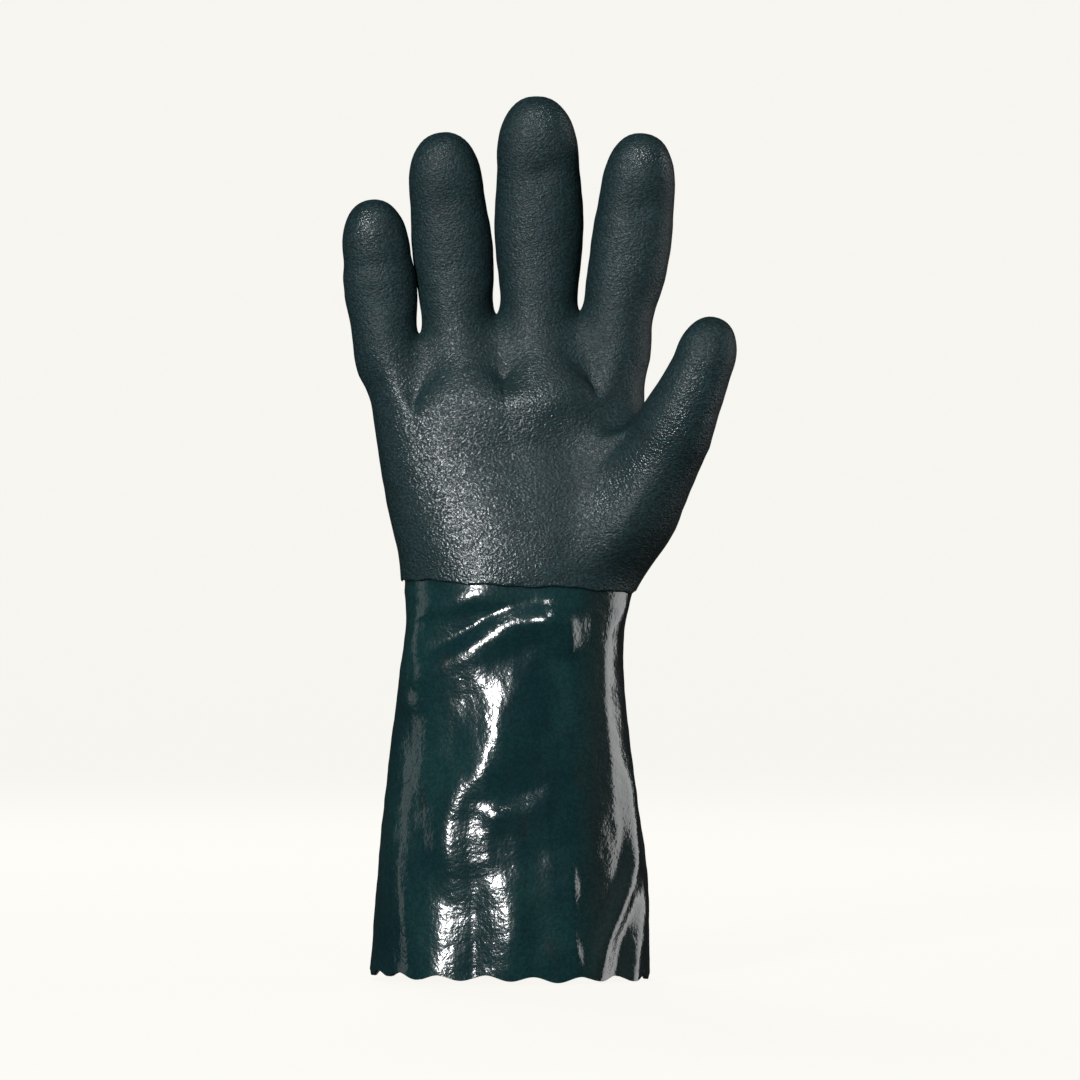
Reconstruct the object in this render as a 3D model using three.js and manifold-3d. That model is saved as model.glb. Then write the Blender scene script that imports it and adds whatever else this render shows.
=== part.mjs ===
// A dipped PVC work glove with a long gauntlet cuff, worn on a right hand, palm facing -Y and fingers up.
// Two pieces, as the glove is dipped: a smooth base shell from hem to fingertips, and over its hand a rough
// grip coat that ends at the wrist. Millimetres, +Z up, origin in the middle of the cuff's mouth.
import * as THREE from 'three';
import Module from 'manifold-3d';

const wasm = await Module();
wasm.setup();

// Lengths along the glove
const GAUNTLET_LENGTH = 158; // hem to the edge of the grip coat
const PALM_LENGTH = 108; // edge of the grip coat to the highest finger web
const MIDDLE_FINGER_LENGTH = 88;
const THUMB_LENGTH = 48; // the part that stands free of the palm
const COAT_EDGE_TILT = 5; // how much higher the coat's edge is on the little finger's side

// Widths run across the palm (X), depths from palm to back (Y). All are of the base shell.
const HEM_WIDTH = 113.4;
const HEM_DEPTH = 84;
const WRIST_WIDTH = 89.6;
const WRIST_DEPTH = 64;
const PALM_WIDTH = 121.4; // over the four finger roots
const PALM_DEPTH = 38; // just below the webs
const THUMB_WIDTH = 22.2;
const THUMB_DEPTH = 22.5;

// Walls
const WALL = 1.6; // base shell, PVC with its cotton bonded inside
const GRIP_COAT = 0.8;
const COAT_CLEARANCE = 0.3; // between the base shell and the grip coat

// Cut edge at the hem, one wave for every two columns of the sleeve
const SCALLOP_DEPTH = 1.8;

// Fingers, from the little finger to the index. length is a share of the middle finger's, width of the room
// that the four roots have, and swell, at the middle joint, of the finger's own width. depth, and back, which
// is how far the root's middle lies behind the palm's, are shares of PALM_DEPTH. lean, bow and curl are how
// far the tip goes sideways, the middle goes sideways and the tip goes forward, as shares of the own length.
const FINGERS = [
  {
    name: 'little', length: 0.597, width: 0.238, swell: 1.054,
    depth: 0.632, lean: -0.095, bow: 0.004, curl: 0.229, back: -0.08,
  },
  {
    name: 'ring', length: 0.869, width: 0.244, swell: 1.167,
    depth: 0.684, lean: -0.092, bow: 0, curl: 0.222, back: 0.013,
  },
  {
    name: 'middle', length: 1, width: 0.259, swell: 1.229,
    depth: 0.737, lean: -0.009, bow: 0.009, curl: 0.205, back: 0.053,
  },
  {
    name: 'index', length: 0.83, width: 0.259, swell: 1.093,
    depth: 0.697, lean: 0.137, bow: 0.016, curl: 0.192, back: 0.013,
  },
];
const FINGER_GAP = 4.4; // between neighbours at their roots
const PALM_SHIFT = -0.025; // middle of the four roots from the cuff's middle, as a share of PALM_WIDTH
const WEB_PIT = 11; // how far a web's palm and back ends lie under its top
const WEB_DROPS = [0.074, 0, 0]; // webs' tops under the highest one, as shares of the middle finger's length

// Thumb: where it leaves the palm, as shares of the palm's width, depth and length from the middle of the
// coat's edge; the way it points; and how far its middle bows off that line, as shares of its length
const THUMB_ROOT = [0.54, -0.71, 0.583];
const THUMB_WAY = [0.354, -0.229, 0.906];
const THUMB_BOW = [0.031, -0.062, 0];

// How finely the skin is divided
const FRONT_COUNT = 4; // sides of a finger's ring over its front, and over its back
const SIDE_COUNT = 2; // sides of it round the left, and round the right
const GAUNTLET_ROWS = 18;
const PALM_ROWS = 10;
const FINGER_ROWS = 5; // between the web and the dome
const DOME_ROWS = 3;
const THUMB_BASE_ROWS = 5; // from the palm to the thumb's root
const THUMB_ROWS = 3; // from its root to its dome

const SIDES = 2 * (FRONT_COUNT + SIDE_COUNT);
const COLUMNS = 2 * (FINGERS.length * FRONT_COUNT + SIDE_COUNT);
const WEB_HEIGHT = GAUNTLET_LENGTH + PALM_LENGTH;

// Sections of the sleeve and palm. up is 0 at the hem, 1 at the coat's edge and 2 at the webs; across and
// forward move the section's middle, as shares of its width and depth; square is its superellipse power.
const SECTIONS = [
  { up: 0, width: HEM_WIDTH, depth: HEM_DEPTH, across: 0, forward: 0, square: 2 },
  { up: 0.25, width: HEM_WIDTH * 0.968, depth: HEM_DEPTH * 0.97, across: 0.01, forward: 0, square: 2 },
  { up: 0.51, width: HEM_WIDTH * 0.884, depth: HEM_DEPTH * 0.9, across: 0.004, forward: 0, square: 2.1 },
  { up: 0.76, width: WRIST_WIDTH * 1.03, depth: WRIST_DEPTH * 1.06, across: 0.008, forward: 0, square: 2.1 },
  { up: 0.89, width: WRIST_WIDTH * 0.99, depth: WRIST_DEPTH, across: 0.018, forward: 0, square: 2.1 },
  { up: 0.95, width: WRIST_WIDTH, depth: WRIST_DEPTH * 0.98, across: 0.022, forward: 0, square: 2.2 },
  { up: 1, width: WRIST_WIDTH * 1.04, depth: WRIST_DEPTH * 0.96, across: 0.036, forward: 0.01, square: 2.2 },
  { up: 1.12, width: PALM_WIDTH * 0.83, depth: WRIST_DEPTH * 0.92, across: 0.06, forward: 0.02, square: 2.3 },
  { up: 1.31, width: PALM_WIDTH * 0.88, depth: PALM_DEPTH * 1.42, across: 0.042, forward: 0.02, square: 2.3 },
  { up: 1.62, width: PALM_WIDTH * 0.885, depth: PALM_DEPTH * 1.22, across: 0, forward: 0.02, square: 2.4 },
  { up: 1.8, width: PALM_WIDTH * 0.91, depth: PALM_DEPTH * 1.1, across: -0.016, forward: 0, square: 2.5 },
  { up: 2, width: PALM_WIDTH, depth: PALM_DEPTH, across: PALM_SHIFT, forward: 0, square: 2.5 },
];

// Folds of the gauntlet. from and to are [around, up]: a share of a full turn from the thumb's side, 0.25 on
// the back and 0.75 over the palm, and a share of the gauntlet's length. width and rise are shares of
// FOLD_WIDTH and FOLD_RISE, and a dent's rise is negative.
const FOLD_WIDTH = 20;
const FOLD_RISE = 4;
const FOLDS = [
  { name: 'wrist_ridge', from: [0.644, 0.78], to: [0.797, 0.91], width: 0.35, rise: 0.75 },
  { name: 'upper_s', from: [0.75, 0.82], to: [0.717, 0.68], width: 0.4, rise: 0.6 },
  { name: 'middle_s', from: [0.719, 0.62], to: [0.678, 0.48], width: 0.35, rise: 0.68 },
  { name: 'lower_s', from: [0.675, 0.44], to: [0.675, 0.26], width: 0.35, rise: 0.52 },
  { name: 'thumb_side_ridge', from: [0.836, 0.95], to: [0.856, 0.45], width: 0.4, rise: 0.6 },
  { name: 'palm_dent', from: [0.728, 0.5], to: [0.792, 0.5], width: 0.75, rise: -0.75 },
  { name: 'thumb_side_dent', from: [0.903, 0.9], to: [0.903, 0.4], width: 0.55, rise: -0.98 },
  { name: 'thumb_edge_ridge', from: [0.953, 0.78], to: [0.953, 0.3], width: 0.4, rise: 0.38 },
  { name: 'hem_flute_1', from: [0.675, 0.16], to: [0.672, 0], width: 0.45, rise: 0.52 },
  { name: 'hem_flute_2', from: [0.739, 0.22], to: [0.736, 0], width: 0.5, rise: 0.52 },
  { name: 'hem_flute_3', from: [0.808, 0.24], to: [0.811, 0], width: 0.45, rise: 0.45 },
  { name: 'little_side_dent', from: [0.569, 0.72], to: [0.589, 0.4], width: 0.7, rise: -0.52 },
  { name: 'back_ridge', from: [0.194, 0.86], to: [0.333, 0.7], width: 0.5, rise: 0.68 },
  { name: 'back_dent', from: [0.236, 0.6], to: [0.306, 0.5], width: 0.9, rise: -0.75 },
  { name: 'back_flute_1', from: [0.167, 0.5], to: [0.183, 0.05], width: 0.6, rise: 0.6 },
  { name: 'back_flute_2', from: [0.328, 0.42], to: [0.311, 0], width: 0.6, rise: 0.52 },
];

const { clamp, lerp, smoothstep } = THREE.MathUtils;
const sum = (values) => values.reduce((a, b) => a + b, 0);

// A value of a table at a height, on one smooth curve through the table's rows.
function sectionAt(up) {
  const last = SECTIONS.length - 2;
  const i = clamp(SECTIONS.findLastIndex((s) => s.up <= up), 0, last);
  const rows = [i - 1, i, i + 1, i + 2].map((n) => SECTIONS[clamp(n, 0, last + 1)]);
  const step = rows[2].up - rows[1].up;
  const t = clamp((up - rows[1].up) / step, 0, 1);
  const value = (key) => {
    const [a, b, c, d] = rows.map((r) => r[key]);
    const before = ((c - a) / Math.max(rows[2].up - rows[0].up, step)) * step;
    const after = ((d - b) / Math.max(rows[3].up - rows[1].up, step)) * step;
    const t2 = t * t;
    const t3 = t2 * t;
    return (
      b * (2 * t3 - 3 * t2 + 1) + before * (t3 - 2 * t2 + t) + c * (3 * t2 - 2 * t3) + after * (t3 - t2)
    );
  };
  const [width, depth] = [value('width'), value('depth')];
  return { width, depth, x: width * value('across'), y: -depth * value('forward'), square: value('square') };
}

// A point of a superellipse: half sizes a and b, at an angle in radians.
function superellipse(a, b, angle, power) {
  const [c, s] = [Math.cos(angle), Math.sin(angle)];
  const size = (Math.abs(c) ** power + Math.abs(s) ** power) ** (-1 / power);
  return [a * c * size, b * s * size];
}

// The angle of a column of the sleeve, or of a finger's ring: number 0 is the front corner of the little
// finger's side, and they run over the palm to the thumb's side and home over the back.
const angleOf = (number, count) => Math.PI + ((number + SIDE_COUNT / 2) / count) * 2 * Math.PI;

// How far a fold lifts the gauntlet at an angle and height: the highest ridge there and the deepest dent.
function foldLift(angle, up, radius) {
  let [ridge, dent] = [0, 0];
  for (const fold of FOLDS) {
    const flat = ([around, share]) => {
      const turn = around * 2 * Math.PI - angle;
      return [Math.atan2(Math.sin(turn), Math.cos(turn)) * radius, (share - up) * GAUNTLET_LENGTH];
    };
    const [from, to] = [flat(fold.from), flat(fold.to)];
    const along = [to[0] - from[0], to[1] - from[1]];
    const t = clamp(-(from[0] * along[0] + from[1] * along[1]) / (along[0] ** 2 + along[1] ** 2), 0, 1);
    const distance = Math.hypot(from[0] + along[0] * t, from[1] + along[1] * t);
    const lift = FOLD_RISE * fold.rise * Math.exp(-((distance / (FOLD_WIDTH * fold.width)) ** 2));
    ridge = Math.max(ridge, lift);
    dent = Math.min(dent, lift);
  }
  return ridge + dent;
}

// Where each finger starts: side by side across the palm, their webs between them.
const ROOM = PALM_WIDTH - FINGER_GAP * (FINGERS.length - 1);
const roots = [];
for (const finger of FINGERS) {
  const left = roots.length ? roots.at(-1).right + FINGER_GAP : (PALM_SHIFT - 0.5) * PALM_WIDTH;
  const drops = [WEB_DROPS[roots.length - 1], WEB_DROPS[roots.length]].filter((d) => d !== undefined);
  const width = finger.width * ROOM;
  const length = finger.length * MIDDLE_FINGER_LENGTH;
  roots.push({
    length,
    width,
    swell: finger.swell * width,
    depth: finger.depth * PALM_DEPTH,
    lean: finger.lean * length,
    bow: finger.bow * length,
    curl: finger.curl * length,
    right: left + width,
    x: left + width / 2,
    y: finger.back * PALM_DEPTH,
    z: WEB_HEIGHT - (sum(drops) / drops.length) * MIDDLE_FINGER_LENGTH,
  });
}

// A fingertip closes as a superellipse from where its dome starts, as shares of the finger's length.
const DOME_POWER = 2.25;
const closingAt = (s, dome) => (1 - clamp((s - dome) / (1 - dome), 0, 1) ** DOME_POWER) ** (1 / DOME_POWER);

// A finger's middle line, half sizes and frame at a share of its length.
const DOME_SHARE = 0.8; // dome's height as a share of the width where it starts
const DOME_WIDTH = 0.92; // that width as a share of the swell
const DOME_DEPTH = 0.9; // depth there as a share of the finger's
const ROOT_DEPTH = 1.14; // root's depth as a share of the finger's
const SWELL_AT = 0.42; // where the finger is widest
const CURL_POWER = 1.8; // how late the finger turns forward
function fingerAt(root, s) {
  const middle = new THREE.Vector3(
    root.x + root.lean * s + root.bow * 4 * s * (1 - s),
    root.y - root.curl * s ** CURL_POWER,
    root.z + root.length * s,
  );
  const slope = new THREE.Vector3(
    root.lean + root.bow * 4 * (1 - 2 * s),
    -root.curl * CURL_POWER * s ** (CURL_POWER - 1),
    root.length,
  ).normalize();
  const dome = 1 - (DOME_SHARE * DOME_WIDTH * root.swell) / root.length;
  const swelling = lerp(root.width, root.swell, smoothstep(s, 0, SWELL_AT));
  const width = swelling * lerp(1, DOME_WIDTH, smoothstep(s, SWELL_AT, dome));
  const deepening = root.depth * lerp(ROOT_DEPTH, 1, smoothstep(s, 0, SWELL_AT));
  const depth = deepening * lerp(1, DOME_DEPTH, smoothstep(s, SWELL_AT, dome));
  const closing = closingAt(s, dome);
  return { middle, slope, a: (width / 2) * closing, b: (depth / 2) * closing, dome };
}

// A ring of points round a middle, square to a slope, at the given angles.
function ring(middle, slope, a, b, angles, power = 2.2) {
  const side = new THREE.Vector3(0, 1, 0).cross(slope).normalize();
  const back = slope.clone().cross(side);
  return angles.map((angle) => {
    const [across, deep] = superellipse(a, b, angle, power);
    return middle.clone().addScaledVector(side, across).addScaledVector(back, deep);
  });
}

// Ring 0 of each finger, in the webs: neighbours share the points between them, which lie half way.
const fingerAngles = Array.from({ length: SIDES }, (_, n) => angleOf(n, SIDES));
const webRings = roots.map((root) => {
  const { middle, a, b } = fingerAt(root, 0);
  return ring(middle, new THREE.Vector3(0, 0, 1), a, b, fingerAngles);
});
for (let web = 0; web < roots.length - 1; web++) {
  for (let q = 0; q <= SIDE_COUNT; q++) {
    const mine = webRings[web][FRONT_COUNT + q];
    const theirs = webRings[web + 1][(SIDES - q) % SIDES];
    const shared = mine.clone().lerp(theirs, 0.5);
    const pit = WEB_PIT * Math.cos((q / SIDE_COUNT) * Math.PI) ** 2;
    shared.z = WEB_HEIGHT - WEB_DROPS[web] * MIDDLE_FINGER_LENGTH - pit;
    mine.copy(shared);
    theirs.copy(shared);
  }
}
// Between two corners the ring's front and back rise out of the pits.
const WEB_CROWN = 0.8;
for (const points of webRings) {
  for (const start of [0, FRONT_COUNT + SIDE_COUNT]) {
    const [low, high] = [points[start], points[(start + FRONT_COUNT) % SIDES]];
    for (let n = 1; n < FRONT_COUNT; n++) {
      const crown = WEB_PIT * WEB_CROWN * Math.sin((n / FRONT_COUNT) * Math.PI);
      points[start + n].z = lerp(low.z, high.z, n / FRONT_COUNT) + crown;
    }
  }
}

// The sleeve's top ring is the outline of the four roots: the point of it at a column.
function rootOf(column) {
  const front = FINGERS.length * FRONT_COUNT;
  if (column <= front) {
    const finger = Math.min(Math.floor(column / FRONT_COUNT), FINGERS.length - 1);
    return webRings[finger][column - finger * FRONT_COUNT];
  }
  if (column <= front + SIDE_COUNT) return webRings.at(-1)[FRONT_COUNT + column - front];
  const back = column - front - SIDE_COUNT;
  const finger = FINGERS.length - 1 - Math.min(Math.floor(back / FRONT_COUNT), FINGERS.length - 1);
  const step = back - (FINGERS.length - 1 - finger) * FRONT_COUNT;
  return webRings[finger][(FRONT_COUNT + SIDE_COUNT + step) % SIDES];
}

// A point of the sleeve and palm, at a column and a height up.
const ROOTS_FROM = 1.72; // above this, the palm's outline turns into that of the finger roots
function bodyPoint(column, up) {
  const angle = angleOf(column, COLUMNS);
  const section = sectionAt(up);
  const lift = up <= 1 ? foldLift(angle, up, (section.width + section.depth) / 4) : 0;
  const [x, y] = superellipse(section.width / 2 + lift, section.depth / 2 + lift, angle, section.square);
  const edge = GAUNTLET_LENGTH - COAT_EDGE_TILT * 0.5 * Math.cos(angle);
  const wave = up ? 0 : (SCALLOP_DEPTH * (1 - 2 * (column % 2))) / 2;
  const point = new THREE.Vector3(section.x + x, section.y + y, Math.min(up, 1) * edge + wave);
  if (up <= 1) return point;
  const top = rootOf(column);
  point.z = lerp(edge, top.z, up - 1);
  return point.lerp(new THREE.Vector3(top.x, top.y, point.z), smoothstep(up, ROOTS_FROM, 2));
}

// The skin: points that neighbours share, and four-cornered faces.
const skin = { points: [], faces: [], seam: [] };
const known = new Map();
function number(point) {
  const key = point.toArray().map((v) => v.toFixed(4)).join();
  if (!known.has(key)) known.set(key, skin.points.push(point.clone()) - 1);
  return known.get(key);
}
// Rows of points become faces; the last row closes on a tip, if there is one.
function addRows(rows, tip, skipped = () => false, coated = () => true) {
  const numbers = rows.map((row) => row.map(number));
  numbers.slice(1).forEach((upper, r) => {
    const lower = numbers[r];
    lower.forEach((corner, c) => {
      const next = (c + 1) % lower.length;
      const corners = [corner, lower[next], upper[next], upper[c]];
      if (!skipped(r, c)) skin.faces.push({ corners, coated: coated(r) });
    });
  });
  if (!tip) return;
  const [top, end] = [numbers.at(-1), number(tip)];
  top.forEach((corner, c) => {
    skin.faces.push({ corners: [corner, top[(c + 1) % top.length], end], coated: true });
  });
}

// Sleeve and palm, with an opening at the thumb's root.
const THUMB_COLUMNS = [0.3, 0.56].map((share) => Math.round(COLUMNS * share));
const THUMB_PALM_ROWS = [0.1, 0.6].map((share) => Math.round(PALM_ROWS * share));
const ups = [
  ...Array.from({ length: GAUNTLET_ROWS }, (_, r) => r / GAUNTLET_ROWS),
  ...Array.from({ length: PALM_ROWS + 1 }, (_, r) => 1 + r / PALM_ROWS),
];
const body = ups.map((up) => Array.from({ length: COLUMNS }, (_, c) => bodyPoint(c, up)));
const [firstRow, lastRow] = THUMB_PALM_ROWS.map((r) => r + GAUNTLET_ROWS);
addRows(
  body,
  null,
  (r, c) => r >= firstRow && r < lastRow && c >= THUMB_COLUMNS[0] && c < THUMB_COLUMNS[1],
  (r) => r >= GAUNTLET_ROWS,
);
skin.hem = body[0].map(number);
skin.coatEdge = body[GAUNTLET_ROWS].map(number);

// The rows of a dome lie at even steps of a quarter turn.
const domeStep = Math.PI / 2 / (DOME_ROWS + 1);
const domeShares = Array.from({ length: DOME_ROWS }, (_, r) => Math.sin((r + 1) * domeStep));

// Fingers: ring 0 in the web, one just over it, then evenly to the dome, whose rows close up to the tip.
const PIT_FADE = 1.6;
for (const [f, root] of roots.entries()) {
  const { dome } = fingerAt(root, 0);
  const shares = [0, FINGER_GAP / 2 / root.length];
  for (let r = 1; r <= FINGER_ROWS; r++) shares.push(lerp(shares[1], dome, r / FINGER_ROWS));
  for (const share of domeShares) shares.push(lerp(dome, 1, share));
  const first = fingerAt(root, 0);
  const flat = ring(first.middle, new THREE.Vector3(0, 0, 1), first.a, first.b, fingerAngles);
  const rows = shares.map((s, r) => {
    if (!r) return webRings[f];
    const at = fingerAt(root, s);
    const fade = 1 - smoothstep(s * root.length, 0, WEB_PIT * PIT_FADE);
    return ring(at.middle, at.slope, at.a, at.b, fingerAngles).map((point, n) => {
      point.z += (webRings[f][n].z - flat[n].z) * fade;
      return point;
    });
  });
  addRows(rows, fingerAt(root, 1).middle);
  skin.seam.push(...webRings[f]);
}

// Thumb: its base bulges out of the opening's edge and runs smoothly into the thumb's own sections.
const THUMB_SECTIONS = [
  { at: 0, width: 1.4, depth: 1.36 },
  { at: 0.3, width: 1.14, depth: 1.14 },
  { at: 0.55, width: 1.02, depth: 1.02 },
  { at: 0.8, width: 1, depth: 0.98 },
  { at: 1, width: 0.95, depth: 0.9 },
];
const THUMB_LEAVING = 0.45; // how strongly the base first goes straight out of the palm
const THUMB_ENTERING = 0.9; // and how strongly it then turns into the thumb's axis
const thumbRoot = new THREE.Vector3(
  THUMB_ROOT[0] * PALM_WIDTH,
  THUMB_ROOT[1] * PALM_DEPTH,
  GAUNTLET_LENGTH + THUMB_ROOT[2] * PALM_LENGTH,
);
const thumbTip = thumbRoot.clone().addScaledVector(new THREE.Vector3(...THUMB_WAY), THUMB_LENGTH);
const thumbMiddle = thumbRoot.clone().lerp(thumbTip, 0.5);
thumbMiddle.addScaledVector(new THREE.Vector3(...THUMB_BOW), 2 * THUMB_LENGTH);
const thumbLine = new THREE.QuadraticBezierCurve3(thumbRoot, thumbMiddle, thumbTip);
const loop = [];
for (let c = THUMB_COLUMNS[0]; c < THUMB_COLUMNS[1]; c++) loop.push(body[firstRow][c]);
for (let r = firstRow; r < lastRow; r++) loop.push(body[r][THUMB_COLUMNS[1]]);
for (let c = THUMB_COLUMNS[1]; c > THUMB_COLUMNS[0]; c--) loop.push(body[lastRow][c]);
for (let r = lastRow; r > firstRow; r--) loop.push(body[r][THUMB_COLUMNS[0]]);
const thumbSlope = thumbLine.getTangent(0);
const thumbSide = new THREE.Vector3(0, 1, 0).cross(thumbSlope).normalize();
const thumbBack = thumbSlope.clone().cross(thumbSide);
const centre = loop.reduce((total, p) => total.add(p), new THREE.Vector3()).divideScalar(loop.length);
const outward = new THREE.Vector3();
loop.forEach((p, n) => {
  const next = loop[(n + 1) % loop.length].clone().sub(centre);
  outward.add(p.clone().sub(centre).cross(next));
});
outward.normalize();
// The thumb's rings have even steps, turned so that they follow the opening's corners on the whole.
const evenStep = (2 * Math.PI) / loop.length;
const turned = loop.reduce(
  (total, p, n) => {
    const out = p.clone().sub(centre);
    const angle = Math.atan2(out.dot(thumbBack), out.dot(thumbSide)) - n * evenStep;
    return [total[0] + Math.cos(angle), total[1] + Math.sin(angle)];
  },
  [0, 0],
);
const evenStart = Math.atan2(turned[1], turned[0]);
const thumbAngles = loop.map((p, n) => evenStart + n * evenStep);
const thumbDome = 1 - (DOME_SHARE * THUMB_WIDTH) / thumbLine.getLength();
function thumbRing(s) {
  const i = clamp(THUMB_SECTIONS.findLastIndex((row) => row.at <= s), 0, THUMB_SECTIONS.length - 2);
  const [low, high] = [THUMB_SECTIONS[i], THUMB_SECTIONS[i + 1]];
  const t = (s - low.at) / (high.at - low.at);
  const closing = closingAt(s, thumbDome);
  const a = (THUMB_WIDTH / 2) * lerp(low.width, high.width, t) * closing;
  const b = (THUMB_DEPTH / 2) * lerp(low.depth, high.depth, t) * closing;
  return ring(thumbLine.getPoint(s), thumbLine.getTangent(s), a, b, thumbAngles);
}
const rootRing = thumbRing(0);
const thumbRows = [loop];
for (let r = 1; r < THUMB_BASE_ROWS; r++) {
  const t = r / THUMB_BASE_ROWS;
  thumbRows.push(
    loop.map((from, n) => {
      const reach = from.distanceTo(rootRing[n]);
      return from
        .clone()
        .lerp(rootRing[n], t * t * (3 - 2 * t))
        .addScaledVector(outward, THUMB_LEAVING * reach * t * (1 - t) ** 2)
        .addScaledVector(thumbSlope, -THUMB_ENTERING * reach * t * t * (1 - t));
    }),
  );
}
for (let r = 0; r <= THUMB_ROWS; r++) thumbRows.push(thumbRing((thumbDome * r) / THUMB_ROWS));
for (const share of domeShares) thumbRows.push(thumbRing(lerp(thumbDome, 1, share)));
addRows(thumbRows, thumbTip);
skin.seam.push(...loop);

// Relaxing the skin towards its neighbours' middle, most at the seams, rounds the webs and the thumb's root.
const SEAM_REACH = 16;
const RELAXINGS = 4;
const neighbours = skin.points.map(() => new Set());
for (const { corners } of skin.faces) {
  corners.forEach((corner, n) => {
    const next = corners[(n + 1) % corners.length];
    neighbours[corner].add(next);
    neighbours[next].add(corner);
  });
}
const softness = skin.points.map((p) => {
  const nearest = Math.min(...skin.seam.map((q) => p.distanceTo(q)));
  return 0.5 * clamp(1 - nearest / SEAM_REACH, 0, 1);
});
for (let turn = 0; turn < RELAXINGS; turn++) {
  const before = skin.points.map((p) => p.clone());
  skin.points.forEach((p, n) => {
    if (!softness[n]) return;
    const middle = new THREE.Vector3();
    for (const m of neighbours[n]) middle.add(before[m]);
    p.lerp(middle.divideScalar(neighbours[n].size), softness[n]);
  });
}

// Which way each point of the skin faces.
const facing = skin.points.map(() => new THREE.Vector3());
for (const { corners } of skin.faces) {
  const [a, b, c, d] = corners.map((n) => skin.points[n]);
  const [across, along] = d ? [c.clone().sub(a), d.clone().sub(b)] : [b.clone().sub(a), c.clone().sub(a)];
  for (const n of corners) facing[n].add(across.clone().cross(along));
}
facing.forEach((out) => out.normalize());

// A wall that follows the skin, between two distances from it, closed along an edge of the skin.
function wall(inner, outer, edge, faces) {
  const used = [...new Set(faces.flatMap((face) => face.corners))];
  const count = used.length;
  const place = new Map(used.map((n, i) => [n, i]));
  const at = (distance) => used.map((n) => skin.points[n].clone().addScaledVector(facing[n], distance));
  const positions = [...at(outer), ...at(inner)].flatMap((p) => p.toArray());
  const index = [];
  for (const face of faces) {
    const corners = face.corners.map((n) => place.get(n));
    for (let n = 2; n < corners.length; n++) {
      const [a, b, c] = [corners[0], corners[n - 1], corners[n]];
      index.push(a, b, c, a + count, c + count, b + count);
    }
  }
  edge.forEach((first, n) => {
    const [corner, next] = [first, edge[(n + 1) % edge.length]].map((m) => place.get(m));
    index.push(corner + count, next + count, next, corner + count, next, corner);
  });
  const geometry = new THREE.BufferGeometry();
  geometry.setAttribute('position', new THREE.Float32BufferAttribute(positions, 3));
  geometry.setIndex(index);
  return geometry;
}

const shellGeometry = wall(-WALL, 0, skin.hem, skin.faces);
const coatGeometry = wall(
  COAT_CLEARANCE,
  COAT_CLEARANCE + GRIP_COAT,
  skin.coatEdge,
  skin.faces.filter((face) => face.coated),
);

const glove = new THREE.Group();
const pieces = [
  ['base_shell', shellGeometry, { color: 0x1b3335, roughness: 0.25, metalness: 0 }],
  ['grip_coat', coatGeometry, { color: 0x2e3f42, roughness: 0.6, metalness: 0 }],
];
for (const [name, geometry, finish] of pieces) {
  const mesh = new THREE.Mesh(geometry, new THREE.MeshStandardMaterial(finish));
  mesh.name = name;
  glove.add(mesh);
}

export default glove;
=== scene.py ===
"""The looks of a PVC coated work glove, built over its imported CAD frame.

Lengths are in millimetres until a mesh is made. The palm faces -Y, the fingers point up and the thumb is on
the +X side. x and z are also the place that the palm side has when seen from the front.
"""
import math

import bpy
import numpy as np
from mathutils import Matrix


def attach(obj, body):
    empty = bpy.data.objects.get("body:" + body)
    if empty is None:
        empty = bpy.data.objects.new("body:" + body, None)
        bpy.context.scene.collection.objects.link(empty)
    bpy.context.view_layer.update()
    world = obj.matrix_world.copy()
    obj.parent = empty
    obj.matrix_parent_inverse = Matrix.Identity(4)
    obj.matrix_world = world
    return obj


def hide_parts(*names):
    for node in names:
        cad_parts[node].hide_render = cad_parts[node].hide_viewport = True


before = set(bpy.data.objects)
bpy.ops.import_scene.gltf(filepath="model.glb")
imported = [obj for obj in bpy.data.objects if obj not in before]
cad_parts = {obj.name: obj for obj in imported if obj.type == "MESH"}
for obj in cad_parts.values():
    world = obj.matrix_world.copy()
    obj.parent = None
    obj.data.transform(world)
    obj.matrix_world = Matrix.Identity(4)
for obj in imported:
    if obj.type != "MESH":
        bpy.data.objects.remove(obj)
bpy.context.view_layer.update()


# The gauntlet
# The first dip: smooth, glossy PVC on a cotton glove, here from the cut and waved hem to just under the grip
# coat. The soft sleeve has sagged into long folds, and its wall stands in them by itself.

# Heights of the sleeve and of the palm above it. The hem's waves reach up to the share HEM_REACH. TUCKED is how
# far rows go on under the coat, where the skin sinks by SUNK.
GAUNTLET = 158.0
EDGE_TILT = 5.0
PALM = 108.0
HEM_WAVES = 18
HEM_WAVE = 1.1
HEM_TILT = 0.9
HEM_REACH = 0.06
TUCKED = (1.0, 2.5, 4.5, 7.0)
SUNK = 0.5
PVC_WALL = 0.9
GAUNTLET_COLUMNS = 288
GAUNTLET_CORNER = 16
GAUNTLET_ROWS = 140

# up (0 hem, 1 coat's edge, 2 finger webs), width, depth, middle's x, middle's y, superellipse power
SECTIONS = np.array([
    [0.00, 113.4, 84.0, 0.00, 0.0, 2.0],
    [0.25, 109.8, 81.5, 1.10, 0.0, 2.0],
    [0.51, 100.2, 75.6, 0.40, 0.0, 2.1],
    [0.76, 92.2, 67.8, 0.74, 0.0, 2.1],
    [0.89, 89.6, 64.0, 1.90, 0.0, 2.1],
    [0.95, 91.2, 62.7, 2.60, 0.0, 2.2],
    [1.00, 93.2, 61.4, 3.36, -0.6, 2.2],
    [1.12, 100.8, 58.9, 6.05, -1.2, 2.3],
    [1.31, 106.8, 54.0, 4.49, -1.1, 2.3],
    [1.62, 107.4, 46.4, 0.00, -0.9, 2.4],
    [1.80, 110.5, 41.8, -1.77, 0.0, 2.5],
    [2.00, 121.4, 38.0, -3.04, 0.0, 2.5],
])


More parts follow.
